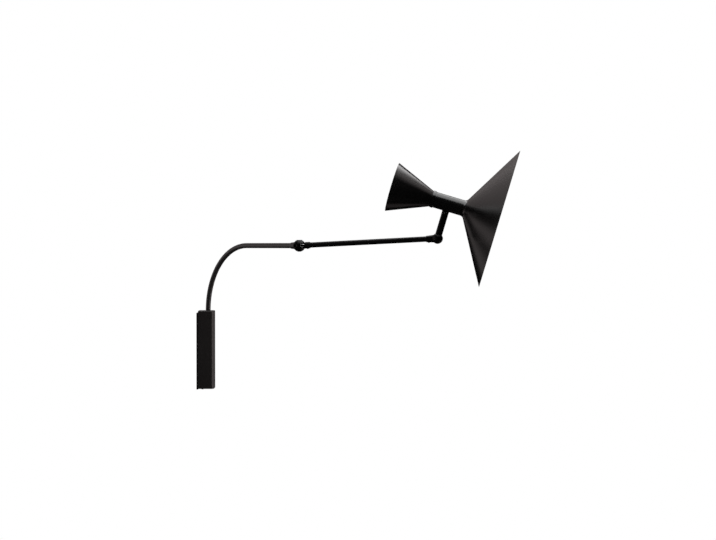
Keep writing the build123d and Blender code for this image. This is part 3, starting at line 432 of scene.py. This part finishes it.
def spun_lacquer(name, colour, roughness, ring_size, ring_depth):
    """Paint on spun metal: the tool's rings round the head's axis show faintly through the coat."""
    material = bpy.data.materials.new(name)
    recipe = Recipe(material)
    place = recipe.node("ShaderNodeTexCoord")["Object"]
    from_middle = recipe.vectors("SUBTRACT", place, head_middle)
    radius = recipe.vectors("LENGTH", recipe.vectors("CROSS_PRODUCT", from_middle, head_axis), (0, 0, 0), 1)
    rings = recipe.node("ShaderNodeTexNoise", {"noise_dimensions": "1D"},
                        {"W": radius, "Scale": 1 / ring_size, "Detail": 2.0})
    peel = recipe.noise(place, 700.0)  # grain of about 1.4 mm
    cloud = recipe.noise(place, 9.0, 4.0)  # patches about 110 mm across
    skin = recipe.node("ShaderNodeBump", {}, {
        "Strength": 0.6, "Distance": ring_depth, "Height": rings + 0.6 * peel})
    recipe.finish("ShaderNodeOutputMaterial", recipe.node("ShaderNodeBsdfPrincipled", {}, {
        "Base Color": recipe.colours(cloud, colour, tuple(1.12 * part for part in colour)),
        "Roughness": roughness + 0.08 * (cloud - 0.5) + 0.04 * (rings - 0.5), "Normal": skin}))
    return material


millimetre = 0.001
shade_sheet = 1.5 * millimetre
rim_margin = 0.2 * millimetre  # keeps the faceted rims inside the CAD's
cone_half_degrees = 60
cone_half_angle = radians(cone_half_degrees)
flare_radius = 14 * millimetre
flare_steps = 10
hem_radius = 1.6 * millimetre
hem_steps = 8
large_hem_turn = (0, -83)  # the roll's first and last angle
shade_lacquer = spun_lacquer("shade_lacquer", (0.0012, 0.0010, 0.0010), 0.22, 0.0060, 0.00005)
shade_enamel = spun_lacquer("white_enamel", (0.80, 0.79, 0.77), 0.36, 0.0040, 0.00004)
black, white = 0, 1


def between(first, last, shares):
    """Points on the straight line from one point of an outline to another."""
    return [tuple(start + share * (end - start) for start, end in zip(first, last)) for share in shares]


def cone_place(radius, rim_radius):
    """Where along the axis the large cone's line has a radius."""
    return large_rim - (rim_radius - radius) / tan(cone_half_angle)


def flare(line_radius, rim_radius, bend_radius):
    """The bend that carries a tube's line into the large cone's."""
    start = cone_place(line_radius, rim_radius) - bend_radius * tan(cone_half_angle / 2)
    return arc(start, line_radius + bend_radius, bend_radius, -90, -90 + cone_half_degrees, flare_steps)


sleeve_start, large_rim, sleeve_radius, large_rim_radius = reach("large_shade")
neck_back, neck_front, _, neck_radius = reach("neck_tube")
large_rim_radius -= rim_margin
inner_rim_radius = large_rim_radius - shade_sheet / cos(cone_half_angle)
outside = [(neck_front, neck_radius)] + flare(neck_radius, large_rim_radius, flare_radius)
outside += between((cone_place(neck_radius, large_rim_radius), neck_radius), (large_rim, large_rim_radius),
                   (0.25, 0.5, 0.75, 1))
edge = [(large_rim, inner_rim_radius + 0.5 * millimetre)]
hem_from_axis = inner_rim_radius + shade_sheet / 2 - hem_radius
hem = arc(large_rim - hem_radius, hem_from_axis, hem_radius, *large_hem_turn, hem_steps)
inside = between((cone_place(sleeve_radius, inner_rim_radius), sleeve_radius), (large_rim, inner_rim_radius),
                 (0.9, 0.6, 0.3))
inside += reversed(flare(sleeve_radius, inner_rim_radius, flare_radius + shade_sheet))
inside += [(sleeve_start, sleeve_radius), (sleeve_start, sleeve_radius + shade_sheet),
           (neck_front, sleeve_radius + shade_sheet)]
outline = [(*point, black, False) for point in outside]
outline += [(*point, white, False) for point in edge + hem + inside]
large_shade = turned("large_shade_spun", outline, [shade_lacquer, shade_enamel], columns=192)
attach(large_shade, "head")
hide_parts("large_shade")

# ---- Small shade ----
# A narrower spun cone points back. Its sleeve steps down over the neck's end, and its edge is rolled in like
# the large one's. It has the same black lacquer and white enamel.
small_half_angle = radians(22.4)
sleeve_step = 2.0 * millimetre
sleeve_floor = 2.0 * millimetre
lip_chamfer = 0.4 * millimetre
step_chamfer = 0.5 * millimetre
small_hem_turn = (60, -112)
small_rim, sleeve_front, _, small_rim_radius = reach("small_shade")
small_rim, sleeve_front, neck_end = -small_rim, -sleeve_front, -neck_back  # counted backwards in this section
small_rim_radius -= rim_margin
sleeve_back = neck_end + sleeve_floor
sleeve_top = neck_radius + sleeve_step
cone_root = small_rim_radius - (small_rim - sleeve_back) * tan(small_half_angle)
inner_rim = small_rim_radius - shade_sheet / cos(small_half_angle)
inner_root = inner_rim - (small_rim - neck_end) * tan(small_half_angle)
outside = [(sleeve_front, sleeve_top - lip_chamfer), (sleeve_front + lip_chamfer, sleeve_top),
           (sleeve_back - step_chamfer, sleeve_top), (sleeve_back, sleeve_top - step_chamfer)]
outside += between((sleeve_back, cone_root), (small_rim, small_rim_radius), (0, 0.3, 0.6, 1))
hem = arc(small_rim - hem_radius, inner_rim - 0.6 * hem_radius, hem_radius, *small_hem_turn, hem_steps)
inside = between((neck_end, inner_root), (small_rim, inner_rim), (0.9, 0.5, 0))
inside += [(neck_end, neck_radius), (sleeve_front, neck_radius)]
outline = [(-along, radius, black, False) for along, radius in outside]
outline += [(-along, radius, white, False) for along, radius in hem + inside]
small_shade = turned("small_shade_spun", outline[::-1], [shade_lacquer, shade_enamel], columns=128)
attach(small_shade, "head")
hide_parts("small_shade")

# ---- Lampholders ----
# Black thermoset holders are screwed through the discs by their nipples. Each has a domed cap, a waist ring
# and a ribbed skirt that is turned by hand, with the bulb's thread inside.
holder_plastic = lacquer("holder_plastic", (0.022, 0.022, 0.023), 0.33, 0.0020, 0.00003)
rib_depth = 0.7 * millimetre
bulb_play = 0.3 * millimetre
nipple_radius = 4.9 * millimetre
nipple_length = 6.5 * millimetre
nipple_bore = 0.6 * nipple_radius
mouth_chamfer = 0.8 * millimetre
thread_depth = 25 * millimetre
mouth_ring = 0.97  # of the holder's radius
body_rings = (  # share of the length from the disc, share of the radius, and whether it is ribbed from there
    (0, 0.66, False), (0.04, 0.72, False), (0.14, 0.88, False), (0.25, 0.94, False), (0.40, 0.94, False),
    (0.42, 1, False), (0.46, 1, False), (0.48, 0.96, False), (0.50, 1, True), (0.90, 1, True),
    (0.92, mouth_ring, False))
for holder_name in ("main_lampholder", "small_lampholder"):
    start, end, _, radius = reach(holder_name)
    bore = reach(holder_name.replace("lampholder", "bulb_cap"))[3] + bulb_play
    away = 1 if end > -start else -1  # the main holder points forwards, and the small one back
    base, mouth = (start, end) if away > 0 else (-end, -start)
    disc_face = base + nipple_length
    length = mouth - disc_face
    rings = [(base, nipple_bore, False), (base, nipple_radius, False), (disc_face, nipple_radius, False)]
    rings += [(disc_face + share * length, ring * radius, ribbed) for share, ring, ribbed in body_rings]
    rings += [(along, ring, False) for along, ring in (
        (mouth - mouth_chamfer, mouth_ring * radius), (mouth, mouth_ring * radius - mouth_chamfer),
        (mouth, bore + mouth_chamfer), (mouth - mouth_chamfer, bore),
        (mouth - thread_depth, bore), (mouth - thread_depth, nipple_bore))]
    outline = [(away * along, ring, 0, ribbed) for along, ring, ribbed in rings]
    holder = turned(holder_name + "_body", outline[::away], [holder_plastic], columns=96, flute=rib_depth)
    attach(holder, "head")
    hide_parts(holder_name)

# ---- Bulbs ----
# Two opal bulbs, unlit, screw into the holders: a large one for the wide cone and a small one for the back
# shade. The glass is white inside and smooth outside, and the caps are bare nickel-plated metal.
opal = lacquer("opal_glass", (0.72, 0.71, 0.68), 0.14, 0.0400, 0.00003)
cap_metal = metal("bulb_cap_metal", (0.75, 0.75, 0.74), 0.28, 0.0014)
dress(opal, "main_bulb", "small_bulb")
dress(cap_metal, "main_bulb_cap", "small_bulb_cap")
